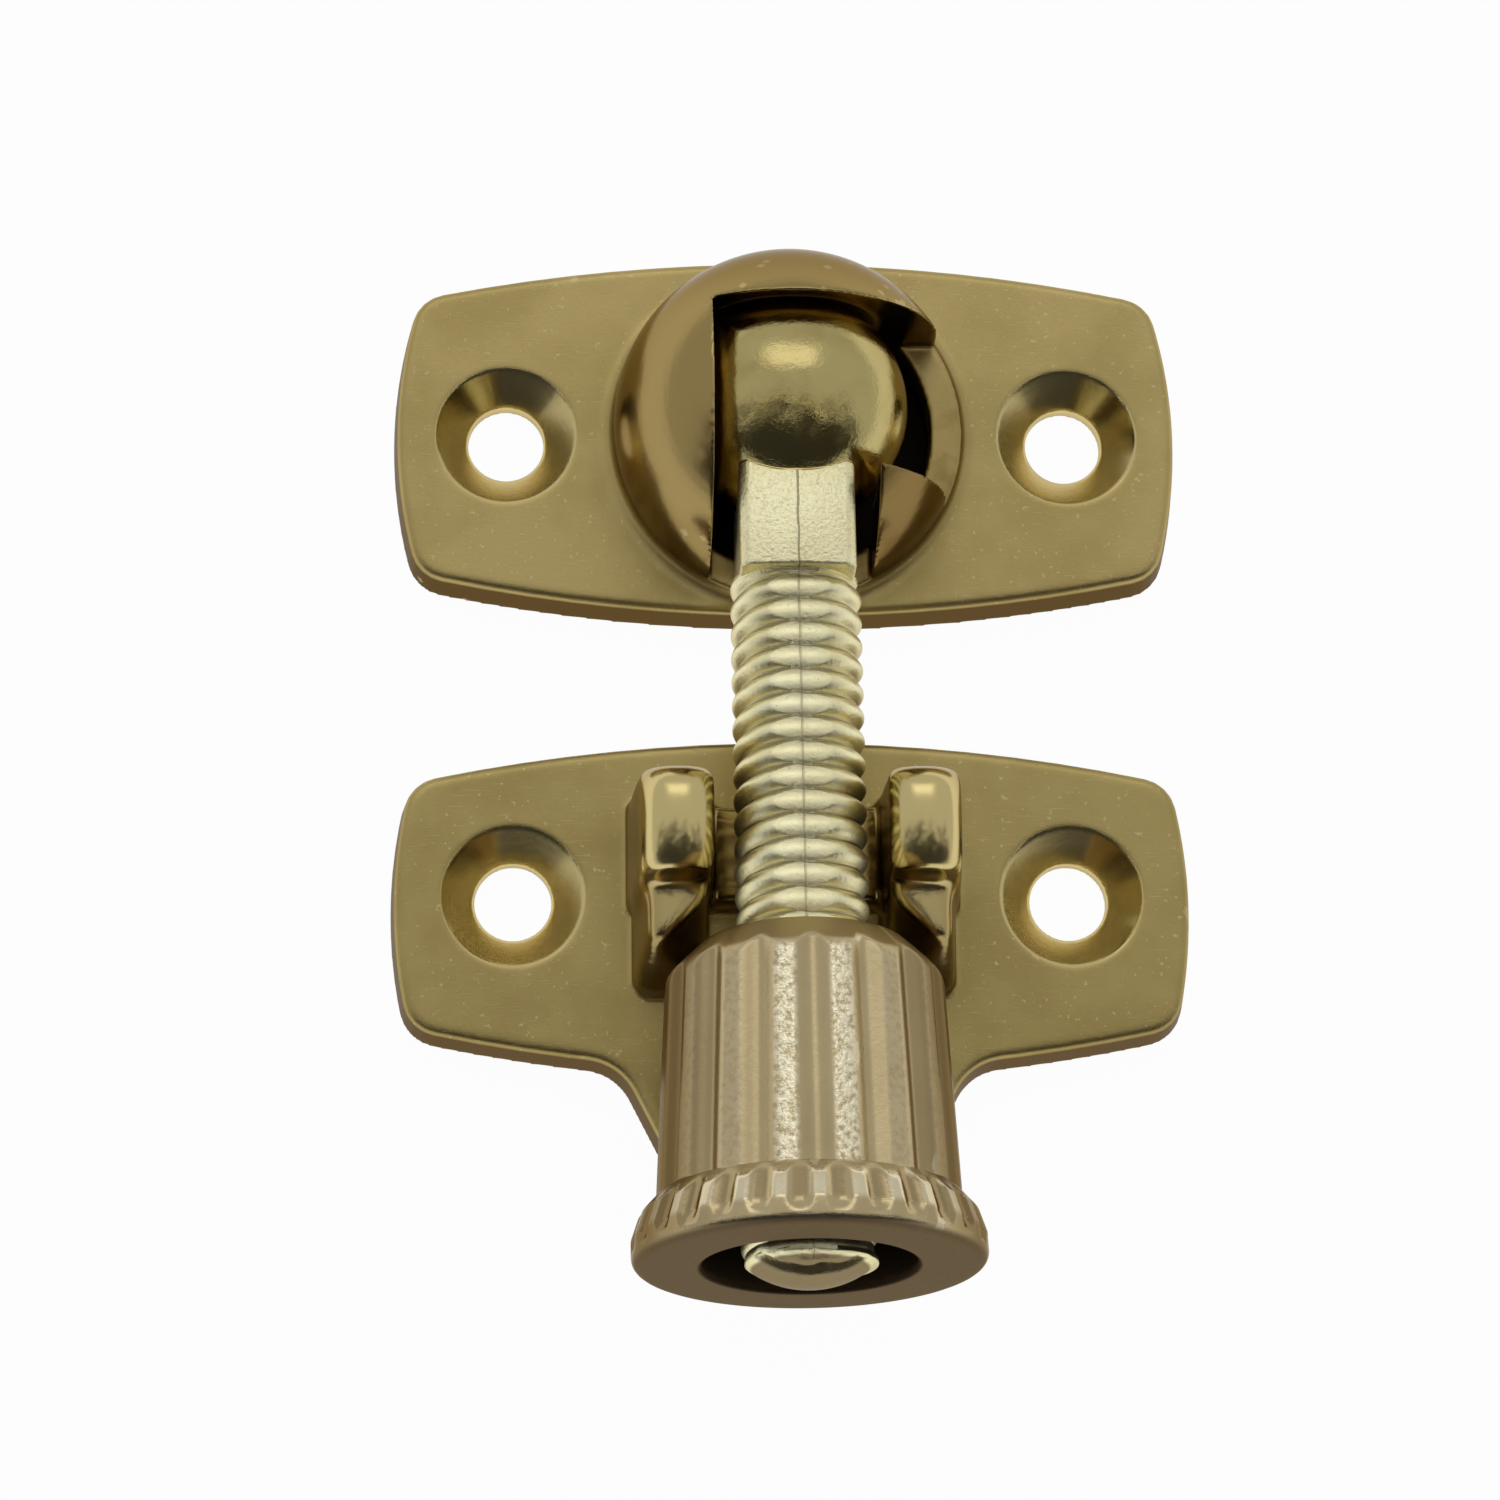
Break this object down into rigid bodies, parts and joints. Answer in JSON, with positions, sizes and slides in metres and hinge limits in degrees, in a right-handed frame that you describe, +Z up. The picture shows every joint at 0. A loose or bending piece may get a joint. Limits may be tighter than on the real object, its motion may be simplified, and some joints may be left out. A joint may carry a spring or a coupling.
{
  "type": "sash fastener",
  "caption": "Screw-down sash fastener: ball-jointed threaded arm in a domed socket plate, fluted barrel nut and a forked keep plate, all cast brass.",
  "frame": {"origin": "on the underside of the hinge plate, midway between its two screw holes", "axes": "+Z up out of the sash rails, -Y from the hinge plate to the keep plate, +X towards the side the arm parks on"},
  "size_m": [0.052, 0.0706, 0.0256],
  "materials": {
    "plate_brass": "satin, fine scratches",
    "sheet_brass": "rolled sheet",
    "arm_brass": "cast thread, polished ball",
    "nut_brass": "satin casting"
  },
  "bodies": {
    "plates": {"hinge_plate": "plate_brass", "ball_retainer": "sheet_brass", "keep_plate": "plate_brass"},
    "arm": {"threaded_arm": "arm_brass"},
    "nut": {"barrel_nut": "nut_brass"}
  },
  "joints": [
    {"name": "arm_lift", "type": "hinge", "parent": "plates", "child": "arm", "pos_m": [0, 0, 0.0085], "axis": [-1, 0, 0], "range_deg": [0, 90]},
    {"name": "nut_travel", "type": "slide", "parent": "arm", "child": "nut", "axis": [0, -0.9937, 0.1119], "range_m": [-0.003, 0.0095]}
  ]
}
